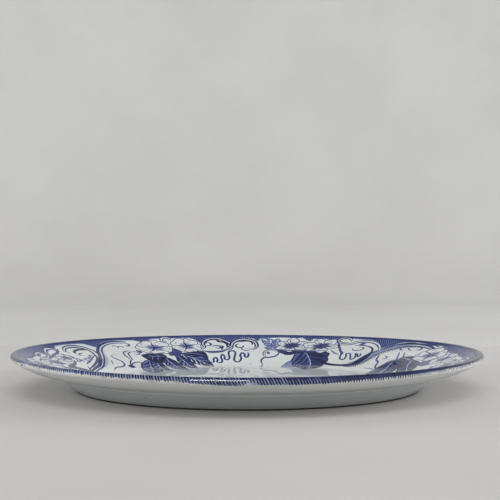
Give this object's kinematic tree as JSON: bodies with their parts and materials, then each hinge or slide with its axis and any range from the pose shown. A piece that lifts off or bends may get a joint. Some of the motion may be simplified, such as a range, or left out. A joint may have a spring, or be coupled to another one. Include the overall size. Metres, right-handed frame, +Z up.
{
  "type": "oval serving platter",
  "caption": "Oval glazed earthenware serving platter with a wide transfer-printed floral border, printed edge band, shallow well and foot ring.",
  "frame": {"origin": "middle of the oval, in the plane of the foot ring's bearing face", "axes": "+X along the platter's length, +Y across its width, +Z up out of the well"},
  "size_m": [0.4, 0.308, 0.031],
  "materials": {
    "earthenware": "matt, unglazed, worn",
    "border_colour": "cobalt transfer print under glaze",
    "edge_colour": "dark cobalt hatched print under glaze",
    "face_glaze": "glossy clear glaze, faintly blue white",
    "back_glaze": "glossy clear glaze, creamy grey"
  },
  "bodies": {
    "root": {"fired_body": "earthenware", "border_print": "border_colour", "edge_print": "edge_colour", "face_glaze": "face_glaze", "back_glaze": "back_glaze", "base_glaze": "back_glaze"}
  },
  "joints": []
}
